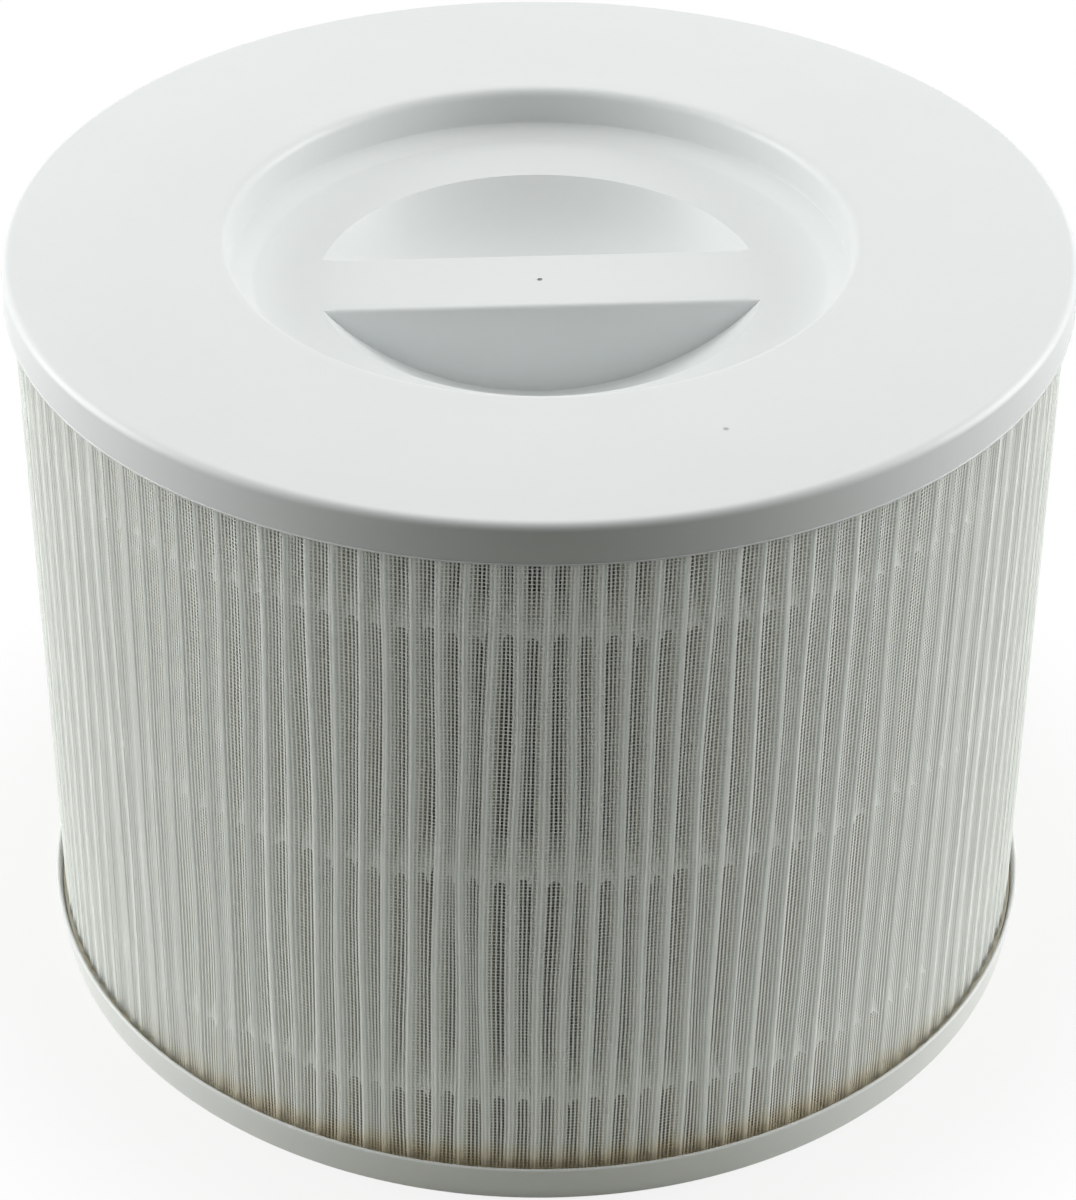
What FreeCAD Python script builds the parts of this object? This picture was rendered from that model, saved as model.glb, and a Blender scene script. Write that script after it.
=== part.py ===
import FreeCAD, Part
import math
import os
import Sketcher

# Round air purifier filter: a closed moulded cap with a sunk grip, an open base ring,
# and between them a pleated paper pack inside a stretched net, round a carbon sleeve
# and an open core tube. Millimetres, +Z up, origin at the centre of the base face.

os.makedirs("parts", exist_ok=True)
doc = FreeCAD.newDocument("filter")
Vector = FreeCAD.Vector
# Two places this close count as one when an edge is looked up
SAME = 1e-4

SIZES = {
    # Overall
    "overall_height": 145.3,
    # Net stretched over the pleats
    "net_radius": 94.1,
    "net_thickness": 0.3,
    "net_clearance": 0.1,
    "closed_gap_count": 14,
    "slot_width": 2.2,
    "slot_margin": 4.0,
    "lap_thickness": 0.3,
    "lap_margin": 0.2,
    # Cap
    "cap_skirt_wall": 0.8,
    "cap_skirt_height": 7.7,
    "cap_wall": 2.0,
    "cap_edge_round": 1.6,
    "recess_wall_depth": 7.3,
    "recess_lip_round": 2.0,
    "floor_slope_width": 4.1,
    "floor_edge_depth": 9.3,
    "floor_depth": 10.6,
    # Grip sunk in the floor
    "floor_width": 11.4,
    "bowl_rim": 1.4,
    "bowl_depth": 18.5,
    "bar_width": 18.6,
    "bar_edge_round": 1.0,
    "gate_radius": 0.5,
    "gate_depth": 0.3,
    # Base ring
    "ring_gap": 1.1,
    "ring_skirt_wall": 1.0,
    "ring_height": 7.8,
    "ring_taper": 0.85,
    "ring_floor": 2.0,
    "ring_edge_round": 0.6,
    "ring_brim_round": 0.4,
    "collar_wall": 1.6,
    "collar_height": 7.0,
    # Potting glue in the cap and the base ring
    "potting_depth": 3.5,
    "potting_clearance": 0.05,
    # Core tube and carbon sleeve
    "core_clearance": 0.15,
    "core_wall": 1.6,
    "window_columns": 18,
    "window_rows": 5,
    "core_rib": 3.0,
    "carbon_clearance": 0.2,
    "carbon_thickness": 4.0,
    # Pleated paper
    "pleat_count": 134,
    "pleat_start": 0.975,
    "pleat_depth": 29.85,
    "paper_thickness": 0.6,
    "crest_clearance": 0.1,
    "root_clearance": 0.5,
    # Hot melt between the pleats
    "glue_row_height": 6.5,
    "glue_inset": 0.3,
    "glue_reach": 8.0,
    "lower_row_rise": 13.4,
    "upper_row_drop": 10.1,
    "middle_row_sag": 0.3,
    "seam_root_gap": 9.0,
    "seam_angle": 90.0,
}

sheet = doc.addObject("Spreadsheet::Sheet", "sizes")
for row, (alias, value) in enumerate(SIZES.items(), start=1):
    sheet.set(f"A{row}", alias)
    sheet.set(f"B{row}", str(value))
    sheet.setAlias(f"B{row}", alias)

# Sizes that follow from others, kept in the same sheet
DERIVED = {
    "skirt_bore": "net_radius + net_clearance",
    "cap_radius": "net_radius + net_clearance + cap_skirt_wall",
    "ring_bore": "net_radius + ring_gap",
    "ring_radius": "net_radius + ring_gap + ring_skirt_wall",
    "ring_foot": "ring_radius - ring_taper",
    "ring_bore_foot": "ring_bore - ring_taper * (ring_height - ring_floor) / ring_height",
    "ring_bore_at_glue": "ring_bore_foot + ring_taper * potting_depth / ring_height",
    "crest_radius": "net_radius - net_thickness - crest_clearance",
    "root_radius": "crest_radius - pleat_depth",
    "carbon_outer": "root_radius - root_clearance",
    "carbon_inner": "carbon_outer - carbon_thickness",
    "core_outer": "carbon_inner - carbon_clearance",
    "core_inner": "core_outer - core_wall",
    "boss_radius": "core_inner - core_clearance",
    "opening_radius": "boss_radius - collar_wall",
    "recess_radius": "boss_radius - cap_wall",
    "floor_radius": "recess_radius - floor_slope_width",
    "bowl_radius": "floor_radius - floor_width",
    "cap_bottom": "overall_height - cap_skirt_height",
    "floor_level": "overall_height - floor_depth",
    "floor_edge": "overall_height - floor_edge_depth",
    "pack_top": "overall_height - cap_wall - potting_depth",
    "pack_bottom": "ring_floor + potting_depth",
    "bowl_sphere": "(bowl_radius ^ 2 + bowl_depth ^ 2) / (2 * bowl_depth)",
    "bowl_bottom": "overall_height - floor_depth - bowl_depth - cap_wall",
    "lower_row": "ring_height + lower_row_rise",
    "upper_row": "overall_height - cap_skirt_height - upper_row_drop - glue_row_height",
    "middle_row": "(lower_row + upper_row) / 2 - middle_row_sag",
    "window_width": "pi * (core_inner + core_outer) / window_columns - core_rib",
    "window_pitch": "(pack_top - pack_bottom - core_rib) / window_rows",
}
for row, (alias, formula) in enumerate(DERIVED.items(), start=len(SIZES) + 1):
    sheet.set(f"A{row}", alias)
    sheet.set(f"B{row}", "=" + formula)
    sheet.setAlias(f"B{row}", alias)
doc.recompute()


def size(alias):
    """A size from the sheet, as a plain number."""
    return float(getattr(sheet, alias))


def evaluated(formula):
    """What a formula of sheet sizes comes to."""
    value = sheet.evalExpression(formula)
    return float(getattr(value, "Value", value))


def in_sheet(formula):
    """The same formula as another object has to write it."""
    words = formula.replace("(", " ( ").replace(")", " ) ").split()
    known = set(SIZES) | set(DERIVED)
    return " ".join("sizes." + word if word in known else word for word in words)


def bind(target, **formulas):
    """Ties properties of an object to the sheet."""
    for name, formula in formulas.items():
        target.setExpression(name.replace("__", "."), in_sheet(formula))
    return target


def origin_plane(body, role):
    """One of a body's own origin planes."""
    return next(item for item in body.Origin.OriginFeatures if item.Role == role)


def outlines(body, name, loops):
    """A sketch of closed loops in the XZ plane, each corner tied to two formulas."""
    sketch = body.newObject("Sketcher::SketchObject", name)
    sketch.AttachmentSupport = [(origin_plane(body, "XZ_Plane"), "")]
    sketch.MapMode = "FlatFace"
    for corners in loops:
        first = sketch.GeometryCount
        places = [Vector(evaluated(x), evaluated(y), 0) for x, y in corners]
        lines = [first + index for index in range(len(places))]
        for start, end in zip(places, places[1:] + places[:1]):
            sketch.addGeometry(Part.LineSegment(start, end), False)
        for line, following in zip(lines, lines[1:] + lines[:1]):
            sketch.addConstraint(Sketcher.Constraint("Coincident", line, 2, following, 1))
        for line, place, (x, y) in zip(lines, places, corners):
            pin_corner(sketch, line, "DistanceX", -2, x, place.x)
            pin_corner(sketch, line, "DistanceY", -1, y, place.y)
    return sketch


def pin_corner(sketch, line, kind, axis, formula, value):
    """Ties one coordinate of a line's start, or lays it on the axis where it is nought."""
    if value == 0:
        sketch.addConstraint(Sketcher.Constraint("PointOnObject", line, 1, axis))
        return
    number = sketch.addConstraint(Sketcher.Constraint(kind, -1, 1, line, 1, value))
    label = f"{kind}_{line}"
    sketch.renameConstraint(number, label)
    sketch.setExpression(f"Constraints.{label}", in_sheet(formula))


def turned(body, name, corners):
    """A full turn of an outline about the body's Z axis."""
    sketch = outlines(body, name + "_outline", [corners])
    turn = body.newObject("PartDesign::Revolution", name)
    turn.Profile = sketch
    turn.ReferenceAxis = (sketch, ["V_Axis"])
    turn.Angle = 360
    sketch.Visibility = False
    return turn


def circles_at(shape, radius, level):
    """Names of the level circular edges of one radius at one height."""
    found = []
    for index, edge in enumerate(shape.Edges, start=1):
        curve = edge.Curve
        if not isinstance(curve, Part.Circle):
            continue
        if abs(curve.Radius - radius) < SAME and abs(curve.Center.z - level) < SAME:
            found.append(f"Edge{index}")
    return found


def rounded(body, name, base, circles, round_size):
    """A fillet of one size on circles given by (radius, height)."""
    doc.recompute()
    edges = [edge for radius, level in circles for edge in circles_at(base.Shape, radius, level)]
    fillet = body.newObject("PartDesign::Fillet", name)
    fillet.Base = (base, edges)
    bind(fillet, Radius=round_size)
    return fillet


def tube(name, inner, outer, low, high):
    """A plain tube as the cut of two cylinders."""
    outside = bind(doc.addObject("Part::Cylinder", name + "_outside"),
                   Radius=outer, Height=f"{high} - ( {low} )", Placement__Base__z=low)
    inside = bind(doc.addObject("Part::Cylinder", name + "_inside"),
                  Radius=inner, Height=f"{high} - ( {low} )", Placement__Base__z=low)
    cut = doc.addObject("Part::Cut", name)
    cut.Base = outside
    cut.Tool = inside
    return cut


def around(radius, degrees, aside=0.0, level=0.0):
    """A point at a radius and an angle, moved sideways along the tangent."""
    angle = math.radians(degrees)
    x = radius * math.cos(angle) - aside * math.sin(angle)
    y = radius * math.sin(angle) + aside * math.cos(angle)
    return Vector(x, y, level)


def prism(corners, low, high, holes=()):
    """Flat outlines raised from one height to another."""
    wires = []
    for loop in (corners, *holes):
        points = [Vector(point.x, point.y, low) for point in loop]
        wires.append(Part.makePolygon(points + points[:1]))
    return Part.makeFace(wires, "Part::FaceMakerBullseye").extrude(Vector(0, 0, high - low))


def free_shape(name, shape):
    """An object for a form that the sketch features do not give."""
    feature = doc.addObject("Part::Feature", name)
    feature.Shape = shape
    return feature


# Cap: a turned pan with the bowl still filled, then the two finger pockets
def make_cap():
    body = doc.addObject("PartDesign::Body", "cap_pan")
    pan = turned(body, "pan_turn", [
        ("0", "floor_level"),
        ("bowl_radius + bowl_rim", "floor_level"),
        ("floor_radius", "floor_edge"),
        ("recess_radius", "overall_height - recess_wall_depth"),
        ("recess_radius", "overall_height"),
        ("cap_radius", "overall_height"),
        ("cap_radius", "cap_bottom"),
        ("skirt_bore", "cap_bottom"),
        ("skirt_bore", "overall_height - cap_wall"),
        ("boss_radius", "overall_height - cap_wall"),
        ("boss_radius", "overall_height - recess_wall_depth - cap_wall / 2"),
        ("floor_radius + cap_wall / 2", "floor_edge - cap_wall"),
        ("bowl_radius + bowl_rim", "floor_level - cap_wall"),
        ("0", "floor_level - cap_wall"),
    ])
    edge = rounded(body, "pan_edge", pan, [(size("cap_radius"), size("overall_height"))], "cap_edge_round")
    lip = rounded(body, "pan_lip", edge, [(size("recess_radius"), size("overall_height"))], "recess_lip_round")
    body.Tip = lip

    centre = "floor_level + bowl_sphere - bowl_depth"
    dome = bind(doc.addObject("Part::Sphere", "bowl_outside"),
                Radius="bowl_sphere + cap_wall", Placement__Base__z=centre)
    below = bind(doc.addObject("Part::Cylinder", "below_floor"),
                 Radius="recess_radius", Height="floor_level - cap_wall / 2 - bowl_bottom",
                 Placement__Base__z="bowl_bottom")
    filled_bowl = doc.addObject("Part::Common", "filled_bowl")
    filled_bowl.Base = dome
    filled_bowl.Tool = below
    joined = doc.addObject("Part::Fuse", "pan_with_bowl")
    joined.Base = body
    joined.Tool = filled_bowl

    pockets = []
    for name, start in (("front", "- bar_width / 2 - bowl_radius"), ("rear", "bar_width / 2")):
        ball = bind(doc.addObject("Part::Sphere", f"bowl_inside_{name}"),
                    Radius="bowl_sphere", Placement__Base__z=centre)
        side = bind(doc.addObject("Part::Box", f"beside_bar_{name}"),
                    Length="bowl_radius * 2", Width="bowl_radius",
                    Height="overall_height - bowl_bottom", Placement__Base__x="- bowl_radius",
                    Placement__Base__y=start, Placement__Base__z="bowl_bottom")
        pocket = doc.addObject("Part::Common", f"pocket_{name}")
        pocket.Base = ball
        pocket.Tool = side
        pockets.append(pocket)

    # The bar is hollow from below, with walls as thick as the rest of the moulding
    slot = bind(doc.addObject("Part::Box", "bar_hollow"),
                Length="( bowl_radius - cap_wall ) * 2", Width="bar_width - cap_wall * 2",
                Height="floor_level - bowl_bottom",
                Placement__Base__x="- ( bowl_radius - cap_wall )",
                Placement__Base__y="- ( bar_width / 2 - cap_wall )",
                Placement__Base__z="bowl_bottom - cap_wall")
    gate = bind(doc.addObject("Part::Cylinder", "gate_mark"),
                Radius="gate_radius", Height="gate_depth * 2",
                Placement__Base__z="floor_level - gate_depth")
    tools = doc.addObject("Part::MultiFuse", "cap_cuts")
    tools.Shapes = pockets + [slot, gate]
    cut = doc.addObject("Part::Cut", "cap_cut")
    cut.Base = joined
    cut.Tool = tools
    doc.recompute()

    # Rounds along the bar's two upper edges
    half = size("bar_width") / 2
    level = size("floor_level")
    chosen = []
    for index, line in enumerate(cut.Shape.Edges, start=1):
        middle = line.CenterOfMass
        straight = isinstance(line.Curve, Part.Line)
        if straight and abs(abs(middle.y) - half) < SAME and abs(middle.z - level) < SAME:
            chosen.append((index, size("bar_edge_round"), size("bar_edge_round")))
    cap = doc.addObject("Part::Fillet", "end_cap")
    cap.Base = cut
    cap.Edges = chosen
    return cap


# Base ring: floor, a skirt that widens upwards and the collar round the opening
def make_base_ring():
    body = doc.addObject("PartDesign::Body", "base_ring")
    ring = turned(body, "ring_turn", [
        ("opening_radius", "0"),
        ("ring_foot", "0"),
        ("ring_radius", "ring_height"),
        ("ring_bore", "ring_height"),
        ("ring_bore_foot", "ring_floor"),
        ("boss_radius", "ring_floor"),
        ("boss_radius", "collar_height"),
        ("opening_radius", "collar_height"),
    ])
    below = [(size("ring_foot"), 0), (size("opening_radius"), 0)]
    edges = rounded(body, "ring_edges", ring, below, "ring_edge_round")
    brim = [(size("ring_radius"), size("ring_height"))]
    body.Tip = rounded(body, "ring_brim", edges, brim, "ring_brim_round")
    return body


# The glue in the base ring lies against the skirt's slope
def make_bottom_potting():
    body = doc.addObject("PartDesign::Body", "bottom_potting")
    body.Tip = turned(body, "bottom_potting_turn", [
        ("boss_radius + potting_clearance", "ring_floor"),
        ("ring_bore_foot - potting_clearance", "ring_floor"),
        ("ring_bore_at_glue - potting_clearance", "pack_bottom"),
        ("boss_radius + potting_clearance", "pack_bottom"),
    ])
    return body


# Core tube: open lattice that the carbon sleeve lies round
def make_core_tube():
    body = doc.addObject("PartDesign::Body", "core_tube")
    wall = turned(body, "core_turn", [
        ("core_inner", "pack_bottom"),
        ("core_outer", "pack_bottom"),
        ("core_outer", "pack_top"),
        ("core_inner", "pack_top"),
    ])
    column = []
    for step in range(int(size("window_rows"))):
        low = f"pack_bottom + core_rib + {step} * window_pitch"
        high = f"pack_bottom + {step + 1} * window_pitch"
        column.append([("- window_width / 2", low), ("window_width / 2", low),
                       ("window_width / 2", high), ("- window_width / 2", high)])
    sketch = outlines(body, "window_outlines", column)
    doc.recompute()
    whole = wall.Shape.Volume
    windows = body.newObject("PartDesign::Pocket", "window_column")
    windows.Profile = sketch
    bind(windows, Length="core_outer + core_wall")
    doc.recompute()
    if not windows.Shape.Volume < whole:
        raise RuntimeError("the core tube's windows cut nothing")
    pattern = body.newObject("PartDesign::PolarPattern", "window_columns")
    pattern.Originals = [windows]
    pattern.Axis = (sketch, ["V_Axis"])
    pattern.Angle = 360
    bind(pattern, Occurrences="window_columns")
    body.Tip = pattern
    return body


# Pleats: one folded sheet, each crest and root as wide as two layers of paper
class Pleats:
    """Where the folds of the paper lie, for all that fits round or between them."""

    def __init__(self):
        self.count = int(size("pleat_count"))
        self.pitch = 360.0 / self.count
        self.start = size("pleat_start")
        self.paper = size("paper_thickness")
        self.crest = size("crest_radius")
        self.root = size("root_radius")

    def crest_angle(self, index):
        """Degrees from +X to one outer fold."""
        return self.start + index * self.pitch

    def root_angle(self, index):
        """Degrees from +X to the inner fold that follows it."""
        return self.crest_angle(index) + self.pitch / 2

    def outer_face(self):
        """The sheet's outer side: a flat crest, then the bottom of the gap after it."""
        points = []
        for index in range(self.count):
            points.append(around(self.crest, self.crest_angle(index), -self.paper))
            points.append(around(self.crest, self.crest_angle(index), self.paper))
            points.append(around(self.root + self.paper, self.root_angle(index)))
        return points

    def inner_face(self):
        """The sheet's inner side, one paper thickness inside the outer one."""
        points = []
        for index in range(self.count):
            points.append(around(self.crest - self.paper, self.crest_angle(index)))
            points.append(around(self.root, self.root_angle(index), -self.paper))
            points.append(around(self.root, self.root_angle(index), self.paper))
        return points

    def gap_depth(self):
        """How far a gap reaches inwards, along one fold."""
        crest = around(self.crest, self.crest_angle(0), self.paper)
        return (crest - around(self.root + self.paper, self.root_angle(0))).Length

    def gap_wedge(self, index, near, far, low, high):
        """What fills the gap after one crest, between two depths from the crests."""
        left = around(self.crest, self.crest_angle(index), self.paper)
        right = around(self.crest, self.crest_angle(index + 1), -self.paper)
        bottom = around(self.root + self.paper, self.root_angle(index))
        start = near / self.gap_depth()
        end = far / self.gap_depth()
        corners = [left + (bottom - left) * start, right + (bottom - right) * start,
                   right + (bottom - right) * end, left + (bottom - left) * end]
        return prism(corners, low, high)

    def gap_nearest(self, degrees):
        """Which gap lies nearest to an angle."""
        return round((degrees - self.root_angle(0)) / self.pitch) % self.count


pleats = Pleats()
seam_gap = pleats.gap_nearest(size("seam_angle"))


def make_media():
    shape = prism(pleats.outer_face(), size("pack_bottom"), size("pack_top"), [pleats.inner_face()])
    return free_shape("pleated_media", shape)


def make_media_seam():
    far = pleats.gap_depth() - size("seam_root_gap")
    shape = pleats.gap_wedge(seam_gap, size("glue_inset"), far, size("pack_bottom"), size("pack_top"))
    return free_shape("media_seam", shape)


def make_glue_row(name, low):
    near = size("glue_inset")
    far = near + size("glue_reach")
    high = low + size("glue_row_height")
    wedges = [
        pleats.gap_wedge(index, near, far, low, high)
        for index in range(pleats.count) if index != seam_gap
    ]
    return free_shape(name, Part.makeCompound(wedges))


# Net: flat between the pleat crests, slotted over the gaps, closed at the lap
def net_corners(radius):
    """Where the net turns over each crest."""
    return [around(radius, pleats.crest_angle(index)) for index in range(pleats.count)]


def make_net():
    net = size("net_thickness")
    outer = size("net_radius")
    inner = outer - net
    sleeve = prism(net_corners(outer), size("pack_bottom"), size("pack_top"), [net_corners(inner)])
    low = size("ring_height") + size("slot_margin")
    high = size("cap_bottom") - size("slot_margin")
    half = size("slot_width") / 2
    closed = int(size("closed_gap_count"))
    first = seam_gap + closed // 2 + 1
    slots = []
    for index in range(first, first + pleats.count - closed):
        middle = pleats.root_angle(index)
        corners = [around(inner - net, middle, -half), around(outer + net, middle, -half),
                   around(outer + net, middle, half), around(inner - net, middle, half)]
        slots.append(prism(corners, low, high))
    return free_shape("prefilter_net", sleeve.cut(slots))


def make_net_lap():
    """The strip where the net's ends overlap, over the media's seam."""
    low = size("ring_height") + size("lap_margin")
    high = size("cap_bottom") - size("lap_margin")
    inside = size("net_radius")
    outside = inside + size("lap_thickness")
    angles = [pleats.crest_angle(seam_gap + step) for step in (0, 1, 2)]
    corners = [around(inside, angle) for angle in angles] + [around(outside, angle) for angle in angles[::-1]]
    return free_shape("net_lap", prism(corners, low, high))


pieces = [
    make_cap(),
    make_base_ring(),
    make_core_tube(),
    tube("top_potting", "boss_radius + potting_clearance", "skirt_bore - potting_clearance",
         "pack_top", "overall_height - cap_wall"),
    make_bottom_potting(),
    tube("carbon_sleeve", "carbon_inner", "carbon_outer", "pack_bottom", "pack_top"),
    make_media(),
    make_media_seam(),
    make_glue_row("glue_row_lower", size("lower_row")),
    make_glue_row("glue_row_middle", size("middle_row")),
    make_glue_row("glue_row_upper", size("upper_row")),
    make_net(),
    make_net_lap(),
]
doc.recompute()

# Every object and every piece is sound before anything is written
for item in doc.Objects:
    if {"Invalid", "Error"} & set(item.State):
        raise RuntimeError(f"{item.Label} failed to build: {item.State}")
for piece in pieces:
    shape = piece.Shape
    if shape.isNull() or not shape.isValid() or not shape.Solids:
        raise RuntimeError(f"{piece.Label} has no sound solid")
    shape.exportStep(f"parts/{piece.Label}.step")
    print(piece.Label, len(shape.Solids), "solids", round(shape.Volume, 1), "cubic mm")
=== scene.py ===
"""Looks of the round air purifier filter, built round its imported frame, in metres."""

import logging
import math
from dataclasses import dataclass
from enum import Enum
from typing import Any, Sequence

import bmesh
import bpy
import numpy as np
from mathutils import Matrix, Vector


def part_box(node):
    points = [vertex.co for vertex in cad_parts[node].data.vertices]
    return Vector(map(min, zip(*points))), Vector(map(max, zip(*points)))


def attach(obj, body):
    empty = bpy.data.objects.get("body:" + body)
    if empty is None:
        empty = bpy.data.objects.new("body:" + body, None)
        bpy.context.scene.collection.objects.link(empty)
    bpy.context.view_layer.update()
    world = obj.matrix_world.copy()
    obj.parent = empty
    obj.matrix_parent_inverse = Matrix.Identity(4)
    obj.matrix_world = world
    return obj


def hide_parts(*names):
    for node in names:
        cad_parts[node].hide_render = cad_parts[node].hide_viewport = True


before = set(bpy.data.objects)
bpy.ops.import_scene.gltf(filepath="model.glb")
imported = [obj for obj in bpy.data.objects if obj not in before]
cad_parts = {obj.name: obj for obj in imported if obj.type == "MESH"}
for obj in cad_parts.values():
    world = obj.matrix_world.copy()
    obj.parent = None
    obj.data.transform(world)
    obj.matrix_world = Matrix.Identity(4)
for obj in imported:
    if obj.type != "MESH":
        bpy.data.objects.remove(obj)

LOG = logging.getLogger("filter")
MM = 0.001
BODY = "root"
IMAGE_HEIGHT = 1200
SHARP_ANGLE = 30.0
CAP_SKIRT = 7.7 * MM
SOAK_STARTS_Y = -42 * MM
SOAK_FULL_Y = -88 * MM
SOAK_WAVE = 4 * MM
Point = tuple[float, float]
Triple = tuple[float, float, float]
Colour = Triple
Span = tuple[float, float]


class Slot(Enum):
    """The filter's material slots."""

    CAP = "cap_plastic"
    RING = "ring_plastic"
    CORE = "core_plastic"
    PAPER = "filter_paper"
    NET = "net_cloth"
    MELT = "hot_melt"
    POTTING = "potting_glue"
    CARBON = "carbon"


class Row(Enum):
    """The three bands of hot melt, named as their nodes are."""

    LOWER = "lower"
    MIDDLE = "middle"
    UPPER = "upper"


class Term:
    """A number inside a node tree, so that a formula of nodes reads as one."""

    def __init__(self, tree: "Tree", socket: bpy.types.NodeSocket) -> None:
        """Keeps the tree and the output socket that holds the number."""
        self.tree = tree
        self.socket = socket

    def __add__(self, other: Any) -> "Term":
        """This number plus another."""
        return self.tree.math("ADD", self, other)

    def __sub__(self, other: Any) -> "Term":
        """This number minus another."""
        return self.tree.math("SUBTRACT", self, other)

    def __rsub__(self, other: Any) -> "Term":
        """Another number minus this one."""
        return self.tree.math("SUBTRACT", other, self)

    def __mul__(self, other: Any) -> "Term":
        """This number times another."""
        return self.tree.math("MULTIPLY", self, other)

    def __truediv__(self, other: Any) -> "Term":
        """This number divided by another."""
        return self.tree.math("DIVIDE", self, other)


class Tree:
    """Adds nodes to one node tree and joins them."""

    def __init__(self, tree: bpy.types.NodeTree) -> None:
        """Wraps a node tree.

        Args:
            tree: the geometry or shader tree that the nodes go into.
        """
        self.tree = tree

    def add(self, kind: str, inputs: dict[Any, Any] | None = None, **settings: Any) -> bpy.types.Node:
        """Adds one node.

        Args:
            kind: the node's type name.
            inputs: a value, socket, node or term for each input, by its name or place.
            settings: the node's own properties.

        Returns:
            The new node.
        """
        node = self.tree.nodes.new(kind)
        for name, value in settings.items():
            setattr(node, name, value)
        for key, value in (inputs or {}).items():
            self.join(value, node.inputs[key])
        return node

    def join(self, value: Any, socket: bpy.types.NodeSocket) -> None:
        """Links a source to a socket, or sets the socket's plain value.

        Args:
            value: a term, socket, node or plain value.
            socket: the input that takes it.
        """
        if isinstance(value, Term):
            value = value.socket
        if isinstance(value, bpy.types.Node):
            value = value.outputs[0]
        if isinstance(value, bpy.types.NodeSocket):
            self.tree.links.new(value, socket)
        else:
            socket.default_value = value

    def term(self, source: bpy.types.Node | bpy.types.NodeSocket) -> Term:
        """A node's first output, or a socket, as a term."""
        return Term(self, source.outputs[0] if isinstance(source, bpy.types.Node) else source)

    def math(self, operation: str, *values: Any, clamp: bool = False) -> Term:
        """One step of arithmetic.

        Args:
            operation: the Math node's operation.
            values: its operands in order.
            clamp: keeps the result between nought and one.

        Returns:
            The result.
        """
        node = self.add("ShaderNodeMath", dict(enumerate(values)), operation=operation, use_clamp=clamp)
        return self.term(node)

    def ramp(self, value: Any, low: float, high: float) -> Term:
        """Goes smoothly from nought at low to one at high, in either direction.

        Args:
            value: the number that is read.
            low: where the result is nought.
            high: where the result is one.

        Returns:
            The smoothed share.
        """
        node = self.add("ShaderNodeMapRange",
                        {"Value": value, "From Min": low, "From Max": high, "To Min": 0.0, "To Max": 1.0},
                        interpolation_type="SMOOTHSTEP")
        return self.term(node)

    def split(self, vector: Any) -> tuple[Term, Term, Term]:
        """The X, Y and Z of a vector."""
        node = self.add("ShaderNodeSeparateXYZ", {0: vector})
        return self.term(node.outputs[0]), self.term(node.outputs[1]), self.term(node.outputs[2])

    def vector(self, x: Any, y: Any, z: Any) -> bpy.types.Node:
        """A vector from its three numbers."""
        return self.add("ShaderNodeCombineXYZ", {0: x, 1: y, 2: z})

    def across(self, x: Term, y: Term) -> Term:
        """How far a place lies from the filter's axis."""
        return self.math("SQRT", x * x + y * y)

    def noise(self, place: Any, wave: float, detail: float = 2.0,
              stretch: Triple = (1.0, 1.0, 1.0)) -> Term:
        """Smooth noise between nought and one.

        Args:
            place: the vector that it is read at.
            wave: how long its waves are, in metres.
            detail: octaves past the first.
            stretch: how much faster it changes along X, Y and Z.

        Returns:
            The noise.
        """
        moved = self.add("ShaderNodeVectorMath", {0: place, 1: stretch}, operation="MULTIPLY")
        inputs = {"Vector": moved, "Scale": 1 / wave, "Detail": detail}
        return self.term(self.add("ShaderNodeTexNoise", inputs))

    def mixed(self, one: Term, other: Term, share: float) -> Term:
        """Two numbers, mixed by the share that the first one has."""
        return self.math("ADD", one * share, other * (1 - share), clamp=True)

    def random(self, low: float, high: float, seed: Any) -> Term:
        """A random number for each point that an instance stands on."""
        node = self.add("FunctionNodeRandomValue", {2: low, 3: high, "Seed": seed}, data_type="FLOAT")
        return self.term(node.outputs[1])

    def blend(self, amount: Any, one: Any, other: Any) -> bpy.types.NodeSocket:
        """A colour between two, by a share.

        Args:
            amount: nought for the first colour, one for the second.
            one: the first colour, or a socket that gives it.
            other: the second colour, or a socket that gives it.

        Returns:
            The mixed colour's socket.
        """
        mix = self.add("ShaderNodeMix", {"Factor": amount}, data_type="RGBA")
        for socket, colour in ((mix.inputs[6], one), (mix.inputs[7], other)):
            self.join(colour if isinstance(colour, bpy.types.NodeSocket) else (*colour, 1.0), socket)
        return mix.outputs[2]


def cleared(owner: bpy.types.Material | bpy.types.World) -> Tree:
    """Turns a material's or world's nodes on and empties them.

    Args:
        owner: the material or world.

    Returns:
        Its node tree, wrapped.
    """
    owner.use_nodes = True
    owner.node_tree.nodes.clear()
    return Tree(owner.node_tree)


def linked(name: str, data: bpy.types.ID) -> bpy.types.Object:
    """Makes an object and links it to the scene.

    Args:
        name: the object's name.
        data: its mesh, lamp or camera.

    Returns:
        The object.
    """
    item = bpy.data.objects.new(name, data)
    bpy.context.scene.collection.objects.link(item)
    return item


def made_plain(piece: bpy.types.Object) -> bpy.types.Mesh:
    """Turns an object's modifiers into a plain mesh and removes them.

    Args:
        piece: the object, changed in place.

    Returns:
        The mesh that it has now.
    """
    graph = bpy.context.evaluated_depsgraph_get()
    plain = bpy.data.meshes.new_from_object(piece.evaluated_get(graph))
    piece.modifiers.clear()
    piece.data = plain
    return plain


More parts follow.
